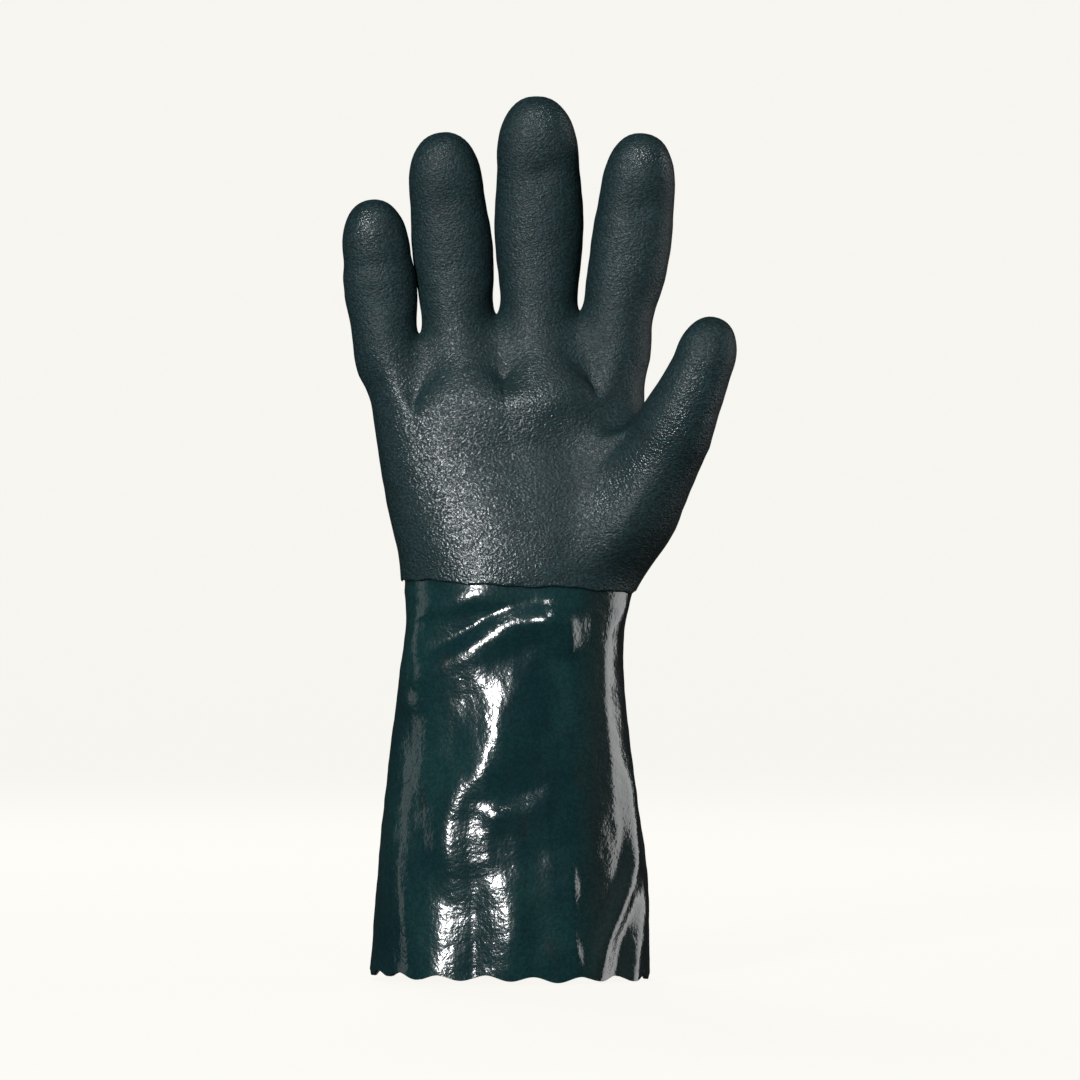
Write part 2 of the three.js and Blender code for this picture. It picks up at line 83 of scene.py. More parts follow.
def smooth(low, high, value):
    """From 0 at low to 1 at high along t * t * (3 - 2 t), t being the share of the way."""
    t = np.clip((value - low) / (high - low), 0, 1)
    return t * t * (3 - 2 * t)


def cubic(b, c, leaving, entering, t):
    """From b to c on a cubic curve with these slopes at its two ends."""
    return (
        b * (2 * t**3 - 3 * t**2 + 1)
        + leaving * (t**3 - 2 * t**2 + t)
        + c * (3 * t**2 - 2 * t**3)
        + entering * (t**3 - t**2)
    )


def section(up):
    """Width, depth, middle and power at heights up: cubic curves through the rows of SECTIONS.

    A row's slope is that of the line between its two neighbours."""
    last = len(SECTIONS) - 1
    i = np.clip(np.searchsorted(SECTIONS[:, 0], up, side="right") - 1, 0, last - 1)
    a, b, c, d = (SECTIONS[np.clip(i + n, 0, last)] for n in (-1, 0, 1, 2))
    step = (c - b)[..., :1]
    t = np.clip((np.asarray(up)[..., None] - b[..., :1]) / step, 0, 1)
    leaving = (c - a) * step / (c - a)[..., :1]
    entering = (d - b) * step / (d - b)[..., :1]
    return np.moveaxis(cubic(b, c, leaving, entering, t), -1, 0)[1:]


def oval(half_width, half_depth, angle, power):
    """Superellipse: cosine and sine of the angle over the power mean of their sizes, times the half sizes."""
    c, s = np.cos(angle), np.sin(angle)
    size = (np.abs(c) ** power + np.abs(s) ** power) ** (-1 / power)
    return half_width * c * size, half_depth * s * size


def column_angle(number, count, corner):
    """Columns run from the front corner on the little finger's side over the palm and home over the back."""
    return np.pi + (number + corner / 2) / count * 2 * np.pi


def coat_edge(angle):
    """Height of the grip coat's edge: tilted by the cosine of the angle, with a slight waver."""
    waver = 0.45 * np.sin(5 * angle + 1) + 0.3 * np.sin(11 * angle + 2) + 0.2 * np.sin(23 * angle)
    return GAUNTLET - EDGE_TILT / 2 * np.cos(angle) + waver


def body(angle, up):
    """A point of the sleeve and palm at an angle and a height up, without folds."""
    width, depth, x, y, power = section(up)
    across, deep = oval(width / 2, depth / 2, angle, power)
    return np.stack([x + across, y + deep, np.minimum(up, 1) * coat_edge(angle)], -1)


def curved(path):
    """Two more rows between each two of a path, on cubic curves that run as its neighbours do."""
    path = np.asarray(path, float)
    ends = np.vstack([2 * path[0] - path[1], path, 2 * path[-1] - path[-2]])
    a, b, c, d = ends[:-3], ends[1:-2], ends[2:-1], ends[3:]
    t = (np.arange(3) / 3)[:, None, None]
    rows = cubic(b, c, (c - a) / 2, (d - b) / 2, t)
    return np.vstack([np.moveaxis(rows, 0, 1).reshape(-1, path.shape[1]), path[-1]])


def crease(x, z, path, left, right, sharp):
    """How far a fold lifts the wall at places (x, z).

    path has rows of x, z and rise. A place takes the rise at its nearest point of the path, which fades as
    e to the power of minus (root of (d * d + sharp * sharp) - sharp) / reach, where d is the distance and
    reach is left or right, for the two sides of someone who walks along the path."""
    path = curved(path)
    nearest = np.full(x.shape, np.inf)
    rise, side = np.zeros(x.shape), np.zeros(x.shape)
    for (ax, az, a_rise), (bx, bz, b_rise) in zip(path[:-1], path[1:]):
        dx, dz = bx - ax, bz - az
        t = np.clip(((x - ax) * dx + (z - az) * dz) / (dx * dx + dz * dz), 0, 1)
        distance = np.hypot(x - ax - dx * t, z - az - dz * t)
        closer = distance < nearest
        nearest = np.where(closer, distance, nearest)
        rise = np.where(closer, a_rise + (b_rise - a_rise) * t, rise)
        side = np.where(closer, dx * (z - az) - dz * (x - ax), side)
    reach = np.where(side > 0, left, right)
    return rise * np.exp(-(np.sqrt(nearest**2 + sharp**2) - sharp) / reach)


# Folds over the palm side: name, path of (x, z, rise), reach on the left and on the right, sharpness
PALM_FOLDS = [
    ("wrist shelf", [(-38, 150, 0.2), (-28, 152.5, 1), (-16, 154.5, 1.6), (-5, 154.5, 1.4), (4, 153.5, 0.6),
                     (9, 153, 0)], 5, 10, 2),
    ("wrist ridge", [(-38, 116, 0), (-30, 123, 2), (-19, 130, 2.7), (-9, 136, 2.9), (0, 141, 3.4),
                     (6, 143, 3.9), (10, 143.6, 4.4), (14, 144, 4.7), (17, 143.8, 4.1), (21, 143, 2.8),
                     (26, 142, 1.4), (32, 141, 0.2)], 3.2, 5, 5.5),
    ("ridge valley", [(-36, 128, -0.2), (-24, 136, -1.4), (-11, 144, -1.8), (-2, 149, -1.6), (6, 151, -1),
                      (11, 152, -0.2)], 6, 3.5, 0.7),
    ("wrist side swell", [(-37, 152, 0.2), (-37, 141, 1.6), (-37, 129, 2.4), (-38, 117, 1.6),
                          (-39, 106, 0.2)], 5, 8, 8),
    ("wrist peak", [(16.5, 156, 0.3), (17, 150, 0.8), (18.2, 142, 1.4), (19, 135, 1.6), (20, 128, 0)],
     5, 3, 3),
    ("funnel", [(14, 134, 0.2), (10, 128, 1.1), (6, 121, 2), (0, 113, 2.4), (-4.8, 104, 1.2)], 10, 9, 9),
    ("upper s ridge", [(-4, 113, 0.1), (-4.6, 104, 1.4), (-5.4, 97, 2.4), (-8.2, 88.5, 2.7), (-13, 81.5, 2.8),
                       (-18, 76.5, 3), (-22.2, 71, 3.2), (-24.6, 64, 3.4), (-25, 57, 3.4), (-24.8, 50, 2.9),
                       (-25.6, 43, 1.7), (-28, 32, 0.2)], 6, 6, 7),
    ("s hollow side", [(-11, 75, -0.2), (-15, 69, -0.9), (-16.5, 60, -1), (-16.5, 50, -0.8), (-16, 42, -0.2)],
     5, 5, 4),
    ("lower s ridge", [(-28, 42, 0.2), (-29.6, 30, 1), (-30.4, 18, 1.9), (-30, 6, 2.3), (-28.6, -2, 2.4)],
     6, 6, 8),
    ("hem flute", [(2, 52, 0), (3.2, 42, 0.6), (3.2, 30, 1.7), (2.8, 20, 2.4), (2, 8, 1.8), (1, -2, 0.8)],
     6, 5.5, 7.5),
    ("thumb side hem flute", [(22, 54, 0), (24, 46, 1.6), (24.4, 38, 2.2), (24.4, 30, 1.5), (24.6, 22, 1.1),
                              (25.6, 13, 2), (27.4, 4, 1.4), (30, -2, 0.8)], 1.8, 14, 1.6),
    ("spot", [(-5, 71, 0.1), (-6, 66, 1.7), (-8, 60, 0.7), (-9, 50, 0.3), (-10, 42, 0)], 3.5, 4, 3),
    ("long ridge", [(24.6, 156, 0.3), (24.2, 148, 0.9), (23.6, 137, 1.3), (22.8, 129.7, 1.4),
                    (24.4, 119.6, 1.3), (26.5, 105.4, 1.3), (28.5, 91.3, 1.1), (30.5, 84.4, 0.7),
                    (33, 76, 0.2)], 6, 6, 0.8),
    ("thumb side ridge", [(50, 156, 0.4), (45, 148, 1), (39.5, 140, 1.5), (37.4, 128, 1.6), (37.4, 112, 1.5),
                          (38.4, 98, 1.4), (39.4, 84, 1.3), (41, 70, 1.1), (43.5, 52, 0.4)], 6, 7, 0.8),
    ("thumb side strip", [(46.5, 86, 0.4), (48, 75, 1.8), (49, 58, 2.2), (49, 45, 2.6), (43.6, 29, 2.8),
                          (38, 14.5, 2.8), (34.6, -2, 2)], 3.4, 5, 1.8),
    ("thumb side dip", [(44.5, 72, -0.4), (45, 58, -1.6), (43.6, 44, -2), (38, 28, -1.6), (32, 13, -1),
                        (29, -2, -0.6)], 4, 4, 2),
    ("corner dip", [(51.5, 36, 0), (48, 25, -1.6), (44.5, 14, -2.2), (42.5, -2, -2.2)], 4, 4, 1.6),
    ("hem corner", [(53, 42, 0.3), (53.6, 28, 1.6), (51, 12, 2.2), (49, -2, 2.4)], 4, 4, 1.4),
    ("crescent", [(-9, 78, 0), (-3, 75.5, -1.2), (4, 74.5, -1.8), (11, 76.5, -1.4), (17, 80, -0.3)],
     5, 4, 3),
    ("crescent lip", [(-5, 66, 0.2), (0, 67.4, 0.9), (5, 69, 1.2), (10, 71, 1.2), (15.5, 74, 1),
                      (20, 72, 0.2)], 3.5, 9, 2.4),
    ("soft swell", [(31, 82, 0.2), (32.5, 70, 1.3), (33, 58, 1.2), (32, 44, 0.3)], 5, 5, 3),
    ("brown dent", [(-18, 148, -0.3), (-12, 147.5, -1), (-7, 148, -0.3)], 3, 3, 2),
    ("under ridge", [(-12, 122, 0), (-4, 127, -1), (4, 131, -1.6), (10, 131, -1.4), (16, 122, -1.4),
                     (17, 108, -1.2), (15, 96, -0.6)], 6, 6, 3.5),
    ("s hollow", [(-20, 108, -0.2), (-22, 96, -0.7), (-28, 84, -0.8), (-33, 70, -0.8), (-34, 52, -0.6)],
     7, 7, 4),
    ("little finger side dent", [(-40, 110, -0.2), (-40.5, 99, -1.5), (-41, 87, -1.5), (-42, 75, -0.2)],
     5, 5, 5),
    ("little finger side flute", [(-44, 62, 0.2), (-43, 44, 1.4), (-41, 24, 1.6), (-40, -2, 1.6)], 6, 6, 3),
    ("hem hollow", [(-14, 48, 0), (-14, 36, -0.9), (-14.5, 20, -1.4), (-14.5, -2, -1.4)], 5, 5, 2),
    ("second hem hollow", [(9, 62, -0.3), (9.5, 40, -1.4), (10, 20, -1.6), (11, -2, -1.6)], 6, 6, 3),
]

# Folds over the back of the hand, as seen through the glove from the front
BACK_FOLDS = [
    ("back wrist ridge", [(36, 118, 0), (24, 126, 2), (6, 133, 2.8), (-14, 131, 2.4), (-30, 122, 0.5)],
     7, 7, 1.6),
    ("back dent", [(18, 98, -0.5), (4, 88, -2.6), (-10, 82, -2.4), (-22, 84, -0.4)], 8, 8, 4),
    ("back long ridge", [(26, 112, 0.3), (22, 92, 2), (24, 70, 2.6), (19, 46, 2.2), (21, 20, 2), (20, -2, 2)],
     6, 7, 1.6),
    ("back hem flute", [(-24, 74, 0.3), (-20, 56, 2), (-23, 34, 2.4), (-20, 14, 2.2), (-21, -2, 2.2)],
     7, 6, 1.8),
    ("back middle flute", [(-2, 60, 0.2), (0, 40, 1.4), (-1, 20, 1.8), (0, -2, 1.8)], 6, 6, 2.4),
    ("back edge swell", [(40, 96, 0.2), (42, 76, 1.6), (41, 56, 1.4), (43, 30, 0.4)], 6, 6, 3),
    ("back outer swell", [(-42, 110, 0.2), (-40, 90, 1.6), (-43, 60, 1.6), (-42, 30, 0.4)], 6, 6, 3),
]


def sleeve_lift(x, y, z):
    """Sum of the folds of the side that a place is on, which fade out where palm and back meet."""
    front = smooth(-2, -14, y)
    back = smooth(2, 14, y)
    lift = np.zeros(x.shape)
    for share, folds in ((front, PALM_FOLDS), (back, BACK_FOLDS)):
        for _, path, left, right, sharp in folds:
            lift += share * crease(x, z, path, left, right, sharp)
    return lift


# The heel of the palm swells over the coat's edge into the wrist
HEEL = [(-40, 232, 0.3), (-33, 212, 0.9), (-26, 194, 1.3), (-19, 178, 1.9), (-15, 165, 2.5), (-14, 156, 2.8),
        (-12, 150, 1.9), (-11, 144, 0.9), (-10, 138, 0)]


def heel_lift(x, y, z):
    """The heel of the palm, with the soft sides of someone's hand inside."""
    return smooth(-2, -14, y) * crease(x, z, HEEL, 13, 15, 12)


def ripple(x, y, z, length, seed):
    """Smooth unevenness of about -1 to 1: six sine waves in seeded directions, of about one wave length."""
    rng = np.random.default_rng(seed)
    total = np.zeros(x.shape)
    for _ in range(6):
        way = rng.normal(size=3)
        way /= np.linalg.norm(way)
        wave = length * rng.uniform(0.75, 1.35)
        total += np.sin((x * way[0] + y * way[1] + z * way[2]) * 2 * np.pi / wave + rng.uniform(0, 6.28))
    return total / 2.6


def sleeve_ripple(x, y, z):
    """The sleeve's soft waves, its small dents and the fine lumps of the dipped skin."""
    return 0.45 * ripple(x, y, z, 46, 3) + 0.14 * ripple(x, y, z, 14, 4) + 0.06 * ripple(x, y, z, 6, 5)


def facing(points, quads):
    """Which way each point faces: the sum of its faces' diagonals' cross products, at length 1."""
    a, b, c, d = (points[quads[:, n]] for n in range(4))
    normal = np.cross(c - a, d - b)
    total = np.stack([
        np.bincount(quads.ravel(), np.repeat(normal[:, n], 4), len(points)) for n in range(3)
    ], -1)
    return total / np.linalg.norm(total, axis=1, keepdims=True)


def distance_to(points, others):
    """Distance of each point to the nearest of the others, in parts that fit in memory."""
    parts = np.array_split(points, 60)
    return np.sqrt(np.concatenate([((part[:, None] - others[None]) ** 2).sum(-1).min(1) for part in parts]))


def grid_quads(rows, columns):
    """Four-cornered faces of a grid whose columns close round, facing outwards."""
    number = np.arange(rows * columns).reshape(rows, columns)
    low, high = number[:-1], number[1:]
    return np.stack([low, np.roll(low, -1, 1), np.roll(high, -1, 1), high], -1).reshape(-1, 4)


def sleeve_skin(angle, up):
    """The sleeve's points and quads at angles and heights up, with the hem's waves and all folds.

    Under the coat the folds fade out and the skin sinks a little, so the coat lies clear of it."""
    angle, up = np.broadcast_arrays(angle, up)
    points = body(angle, up)
    points[..., 2] += np.maximum(up - 1, 0) * PALM
    waver = 0.3 * np.sin(7 * angle + 1) + HEM_TILT * (1 - np.cos(angle))
    points[..., 2] += (HEM_WAVE * np.cos(HEM_WAVES * angle) + waver) * (1 - smooth(0, HEM_REACH, up))
    plain = points.reshape(-1, 3)
    quads = grid_quads(*up.shape)
    x, y, z = plain.T
    under_coat = 1 - smooth(GAUNTLET - 10, GAUNTLET + 1, z)
    lift = (sleeve_lift(x, y, z) + sleeve_ripple(x, y, z)) * under_coat
    lift += heel_lift(x, y, z) - SUNK * smooth(GAUNTLET - 3, GAUNTLET + 1, z)
    return plain + facing(plain, quads) * lift[:, None], quads


def wall(name, points, out, quads, edges, inner, outer):
    """A closed wall that follows a skin, from `inner` to `outer` along `out`, with a strip along each edge.

    A triangle is a row of quads that gives its last point twice."""
    count = len(points)
    skins = np.vstack([points + out * np.reshape(outer, (-1, 1)), points + out * np.reshape(inner, (-1, 1))])
    faces = [quads, quads[:, [1, 0, 3, 2]] + count]
    for edge in edges:
        following = np.roll(edge, -1)
        faces.append(np.stack([edge + count, following + count, following, edge], -1))
    faces = np.vstack(faces)
    again = np.roll(faces, -1, 1)
    keep = faces != again
    totals = keep.sum(1)
    loops = faces[keep]
    mesh = bpy.data.meshes.new(name)
    mesh.vertices.add(len(skins))
    mesh.vertices.foreach_set("co", (skins / 1000).astype(np.float32).ravel())
    mesh.loops.add(len(loops))
    mesh.loops.foreach_set("vertex_index", loops.astype(np.int32))
    mesh.polygons.add(len(totals))
    mesh.polygons.foreach_set("loop_start", (np.cumsum(totals) - totals).astype(np.int32))
    mesh.update(calc_edges=True)
    mesh.validate()
    mesh.shade_smooth()
    mesh.set_sharp_from_angle(angle=math.radians(55))
    piece = bpy.data.objects.new(name, mesh)
    bpy.context.scene.collection.objects.link(piece)
    return piece


class Value:
    """A number that changes over a surface: one output of a shader node, to calculate with."""

    def __init__(self, finish, socket):
        self.finish = finish
        self.socket = socket

    def maths(self, operation, *values):
        return self.finish.node("ShaderNodeMath", {"operation": operation}, dict(enumerate(values)))

    def __add__(self, other): return self.maths("ADD", self, other)
    def __radd__(self, other): return self.maths("ADD", other, self)
    def __sub__(self, other): return self.maths("SUBTRACT", self, other)
    def __rsub__(self, other): return self.maths("SUBTRACT", other, self)
    def __mul__(self, other): return self.maths("MULTIPLY", self, other)
    def __rmul__(self, other): return self.maths("MULTIPLY", other, self)

    def between(self, low, high):
        """0 at low and below, 1 at high and above, smooth in between."""
        settings = {"interpolation_type": "SMOOTHSTEP"}
        inputs = {"Value": self, "From Min": low, "From Max": high}
        return self.finish.node("ShaderNodeMapRange", settings, inputs)


class Finish:
    """A material of the glove, and the one way in which its nodes are made."""

    def __init__(self, name):
        self.material = bpy.data.materials.new(name)
        self.material.use_nodes = True
        self.tree = self.material.node_tree
        self.tree.nodes.clear()
        self.place = self.node("ShaderNodeTexCoord", output="Object")

    def node(self, kind, settings=None, inputs=None, output=0):
        """Adds a node with its settings, then its sockets' values or links, and returns one output."""
        node = self.tree.nodes.new(kind)
        for name, setting in (settings or {}).items():
            setattr(node, name, setting)
        for key, value in (inputs or {}).items():
            if isinstance(value, Value):
                self.tree.links.new(value.socket, node.inputs[key])
            else:
                node.inputs[key].default_value = value
        return Value(self, node.outputs[output])

    def noise(self, scale, detail=2, roughness=0.5, at=None, distortion=0):
        """Noise of 0 to 1 with a scale in cells per metre."""
        inputs = {"Vector": at or self.place, "Scale": scale, "Detail": detail, "Roughness": roughness,
                  "Distortion": distortion}
        return self.node("ShaderNodeTexNoise", None, inputs)

    def blend(self, share, first, second):
        """A colour that goes from the first to the second with a share."""
        settings = {"data_type": "RGBA"}
        return self.node("ShaderNodeMix", settings, {"Factor": share, 6: first, 7: second}, 2)

    def cover(self, piece, surface):
        """Ends the material with its surface and puts it on a piece."""
        end = self.tree.nodes.new("ShaderNodeOutputMaterial")
        self.tree.links.new(surface.socket, end.inputs["Surface"])
        piece.data.materials.append(self.material)


column = np.arange(GAUNTLET_COLUMNS)
angle = column_angle(column, GAUNTLET_COLUMNS, GAUNTLET_CORNER)[None, :]
up = np.concatenate([np.linspace(0, 1, GAUNTLET_ROWS), 1 + np.array(TUCKED) / PALM])[:, None]
sleeve, quads = sleeve_skin(angle, up)
upper_edge = np.arange(len(sleeve) - 1, len(sleeve) - GAUNTLET_COLUMNS - 1, -1)
gauntlet = wall("gauntlet", sleeve, facing(sleeve, quads), quads, [column, upper_edge], -PVC_WALL, 0.0)

glossy = Finish("smooth_pvc")
cloudy = glossy.noise(22, 3)
upright = glossy.node("ShaderNodeMapping", {}, {"Vector": glossy.place, "Scale": (1, 1, 0.4)})
film = glossy.noise(60, 2, at=upright)
colour = glossy.blend(cloudy.between(0.3, 0.7), (0.0028, 0.0132, 0.0156, 1), (0.0046, 0.0215, 0.0220, 1))
colour = glossy.blend(film.between(0.62, 0.75) * 0.5, colour, (0.0080, 0.0092, 0.0078, 1))
# Towards +X, the side turned away from the key light, the colour goes brownish grey: a painted reflection over
# that side's shade, not the PVC's own colour.
across = glossy.node("ShaderNodeSeparateXYZ", {}, {"Vector": glossy.place})
colour = glossy.blend(across.between(0.024, 0.038) * 0.75, colour, (0.0098, 0.0128, 0.0118, 1))
peel = glossy.noise(650, 1, 0.5)
grain = glossy.noise(1500, 1)
# Where peel and grain lie low the colour darkens: painted shade in the pits of the grain.
pit_shade = (0.5 * peel + 0.5 * grain).between(0.62, 0.38)
colour = glossy.blend(pit_shade * 0.45, colour, (0.0012, 0.0050, 0.0060, 1))
relief = glossy.node("ShaderNodeBump", {}, {
    "Strength": 1.0, "Distance": 0.00017, "Height": peel * 0.85 + grain * 0.15,
})
glossy.cover(gauntlet, glossy.node("ShaderNodeBsdfPrincipled", {}, {
    "Base Color": colour, "Roughness": 0.15 + cloudy * 0.08, "IOR": 1.5, "Normal": relief,
    "Specular IOR Level": 0.55,
}))
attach(gauntlet, "root")


# The grip coat
# The second dip, over the hand only: rough PVC, its grain pressed or foamed in while wet, with a rounded
# edge where the dip ended. It follows the fingers, which carry the creases of the hand inside.

# The coat lies from COAT_FROM to COAT_TO over the skin, and reaches that over the width BEAD. THUMB_HEIGHTS are
# shares of the palm and THUMB_COLUMNS 36ths of its columns, where the thumb's opening begins and ends.
MIDDLE_FINGER = 88.0
PALM_WIDTH = 121.4
PALM_DEPTH = 38.0
FINGER_GAP = 4.4
PALM_SHIFT = -0.025
WEB_PIT = 11.0
WEB_CROWN = 0.8
COAT_FROM = 0.3
COAT_TO = 1.1
BEAD = 0.9
EDGE_WALL = 0.12
SEAM_REACH = 16.0
TIP_POWER = 2.25
FINGER_POWER = 2.2
FINGER_JOINT = 0.42
FINGER_CURL = 1.8
ROOTS_FROM = 1.72
THUMB_HEIGHTS = (0.1, 0.6)
THUMB_COLUMNS = (11, 20)

# length of the middle finger's, width of the roots' room, swell of the own width, depth of the palm's, then
# lean, bow and curl as shares of the own length and how far behind the palm's middle the root lies
FINGERS = {
    "little": (0.597, 0.238, 1.054, 0.632, -0.095, 0.004, 0.229, -0.08),
    "ring": (0.869, 0.244, 1.167, 0.684, -0.092, 0.0, 0.222, 0.013),
    "middle": (1.0, 0.259, 1.229, 0.737, -0.009, 0.009, 0.205, 0.053),
    "index": (0.83, 0.259, 1.093, 0.697, 0.137, 0.016, 0.192, 0.013),
}
WEB_DROPS = (0.074, 0.0, 0.0)
THUMB_ROOT = np.array([0.54 * PALM_WIDTH, -0.71 * PALM_DEPTH, GAUNTLET + 0.583 * PALM])
THUMB_WAY = np.array([0.354, -0.229, 0.906])
THUMB_BOW = np.array([0.031, -0.062, 0.0])
THUMB_LENGTH = 48.0
THUMB_SIZE = (22.2, 22.5)


def closing(share, dome):
    """How far a tip has closed: a superellipse from 1 at the dome's start to 0 at share 1."""
    return (1 - np.clip((share - dome) / (1 - dome), 0, 1) ** TIP_POWER) ** (1 / TIP_POWER)


def square_to(slope):
    """Two directions square to a slope of length 1: sideways, and backwards."""
    side = np.cross([0.0, 1.0, 0.0], slope)
    side /= np.linalg.norm(side, axis=-1, keepdims=True)
    return side, np.cross(slope, side)


def ring(middle, slope, half_width, half_depth, angles):
    """Ovals square to a slope: rows of middles and slopes against columns of angles."""
    side, back = square_to(slope / np.linalg.norm(slope, axis=-1, keepdims=True))
    across, deep = oval(half_width[..., None], half_depth[..., None], angles, FINGER_POWER)
    around = across[..., None] * side[..., None, :] + deep[..., None] * back[..., None, :]
    return middle[..., None, :] + around


def finger_line(finger, share):
    """Middle, slope and half sizes of a finger at shares of its length.

    The middle leans with the share, bows with 4 s (1 - s) and curls forward with a power of s."""
    share = np.asarray(share, float)
    length = finger["length"]
    middle = np.stack([
        finger["x"] + finger["lean"] * share + finger["bow"] * 4 * share * (1 - share),
        finger["y"] - finger["curl"] * share**FINGER_CURL,
        finger["z"] + length * share,
    ], -1)
    slope = np.stack([
        finger["lean"] + finger["bow"] * 4 * (1 - 2 * share),
        -finger["curl"] * FINGER_CURL * share ** (FINGER_CURL - 1),
        np.full(share.shape, length),
    ], -1)
    dome = 1 - 0.8 * 0.92 * finger["swell"] / length
    to_joint, to_dome = smooth(0, FINGER_JOINT, share), smooth(FINGER_JOINT, dome, share)
    width = (finger["width"] + (finger["swell"] - finger["width"]) * to_joint) * (1 - 0.08 * to_dome)
    depth = finger["depth"] * (1.14 - 0.14 * to_joint) * (1 - 0.1 * to_dome)
    shut = closing(share, dome)
    return middle, slope, width / 2 * shut, depth / 2 * shut, dome


def hand(front, corner, palm_rows, finger_rows, dome_rows, thumb_rows):
    """The skin of palm, fingers and thumb as points, quads and its open lower edge.

    front and corner are the steps over a finger's front and round its side, so the palm has
    2 * (4 * front + corner) columns. Palm rows are those below, beside and above the thumb's opening."""
    columns, sides = 2 * (4 * front + corner), 2 * (front + corner)
    web_height = GAUNTLET + PALM
    room = PALM_WIDTH - FINGER_GAP * 3
    left = (PALM_SHIFT - 0.5) * PALM_WIDTH
    fingers = []
    for n, (length, width, swell, depth, lean, bow, curl, behind) in enumerate(FINGERS.values()):
        drops = WEB_DROPS[max(n - 1, 0):n + 1]
        own = length * MIDDLE_FINGER
        fingers.append({
            "length": own, "width": width * room, "swell": swell * width * room, "depth": depth * PALM_DEPTH,
            "lean": lean * own, "bow": bow * own, "curl": curl * own, "x": left + width * room / 2,
            "y": behind * PALM_DEPTH, "z": web_height - sum(drops) / len(drops) * MIDDLE_FINGER,
        })
        left += width * room + FINGER_GAP

    # Web rings: neighbours share the points between them, and pits lie at a web's palm and back ends
    angles = column_angle(np.arange(sides), sides, corner)
    upright = np.array([0.0, 0.0, 1.0])
    flats, webs = [], []
    for finger in fingers:
        middle, _, a, b, _ = finger_line(finger, 0.0)
        flats.append(ring(middle, upright, a, b, angles))
        webs.append(flats[-1].copy())
    q = np.arange(corner + 1)
    for n, drop in enumerate(WEB_DROPS):
        mine, theirs = front + q, (sides - q) % sides
        shared = (webs[n][mine] + webs[n + 1][theirs]) / 2
        shared[:, 2] = web_height - drop * MIDDLE_FINGER - WEB_PIT * np.cos(q / corner * np.pi) ** 2
        webs[n][mine] = shared
        webs[n + 1][theirs] = shared
    t = np.arange(1, front) / front
    for web in webs:
        for start in (0, front + corner):
            low, high = web[start, 2], web[(start + front) % sides, 2]
            crown = WEB_PIT * WEB_CROWN * np.sin(t * np.pi)
            web[start + np.arange(1, front), 2] = low + (high - low) * t + crown
    top = np.vstack(
        [web[:front] for web in webs]
        + [webs[3][front:front + corner]]
        + [webs[n][front + corner:sides - corner] for n in (3, 2, 1, 0)]
        + [webs[0][sides - corner:]]
    )

    # Palm: the sleeve's sections go on, and turn into the finger roots' outline near the webs
    below, beside, above = palm_rows
    thumb_low, thumb_high = THUMB_HEIGHTS
    near_edge = np.array([0, 0.15, 0.4, 0.8, 1.3, 2.0, 3.0]) / PALM
    ups = 1 + np.concatenate([
        near_edge,
        np.linspace(near_edge[-1], thumb_low, below)[1:],
        np.linspace(thumb_low, thumb_high, beside + 1)[1:],
        np.linspace(thumb_high, 1, above + 1)[1:],
    ])
    first = int(np.argmin(np.abs(ups - 1 - thumb_low)))
    last = first + beside
    angle, up = np.broadcast_arrays(column_angle(np.arange(columns), columns, corner), ups[:, None])
    palm = body(angle, up)
    edge = coat_edge(angle)
    palm[..., 2] = edge + (top[:, 2] - edge) * (up - 1)
    turn = smooth(ROOTS_FROM, 2, up)[..., None]
    palm[..., :2] += (top[:, :2] - palm[..., :2]) * turn
    palm[-1] = top
    from_column, to_column = (columns * number // 36 for number in THUMB_COLUMNS)
    quads = grid_quads(*up.shape).reshape(len(ups) - 1, columns, 4)
    keep = np.ones(quads.shape[:2], bool)
    keep[first:last, from_column:to_column] = False
    points, faces, count = [palm.reshape(-1, 3)], [quads[keep]], palm.size // 3

    def add(rows, tip):
        """Adds a tube of rows that closes on a tip."""
        nonlocal count
        faces.append(grid_quads(*rows.shape[:2]) + count)
        points.append(rows.reshape(-1, 3))
        count += rows.size // 3
        highest = np.arange(count - rows.shape[1], count)
        end = np.full(len(highest), count)
        faces.append(np.stack([highest, np.roll(highest, -1), end, end], -1))
        points.append(tip.reshape(1, 3))
        count += 1

    # Fingers: rings from the web to the dome and over it
    over = np.sin((np.arange(dome_rows) + 1) / (dome_rows + 1) * np.pi / 2)
    for finger, web, flat in zip(fingers, webs, flats):
        dome = finger_line(finger, 0.0)[4]
        shares = np.concatenate([
            np.linspace(0, dome, finger_rows + 1)[1:],
            dome + (1 - dome) * over,
        ])
        middle, slope, a, b, _ = finger_line(finger, shares)
        rows = ring(middle, slope, a, b, angles)
        fade = 1 - smooth(0, WEB_PIT * 1.6, shares * finger["length"])
        rows[..., 2] += (web[:, 2] - flat[:, 2]) * fade[:, None]
        add(np.concatenate([web[None], rows]), finger_line(finger, 1.0)[0])

    # Thumb: from the opening's edge its base bulges out of the palm and runs into the thumb's own ovals
    loop = np.vstack([
        palm[first, from_column:to_column],
        palm[first:last, to_column],
        palm[last, from_column + 1:to_column + 1][::-1],
        palm[first + 1:last + 1, from_column][::-1],
    ])
    tip = THUMB_ROOT + THUMB_WAY * THUMB_LENGTH
    bend = (THUMB_ROOT + tip) / 2 + THUMB_BOW * 2 * THUMB_LENGTH

    def thumb_line(share):
        """A quadratic curve from root to tip, pulled towards the bend, and its slope."""
        s = np.asarray(share, float)[..., None]
        middle = THUMB_ROOT * (1 - s) ** 2 + bend * 2 * s * (1 - s) + tip * s**2
        return middle, (bend - THUMB_ROOT) * 2 * (1 - s) + (tip - bend) * 2 * s

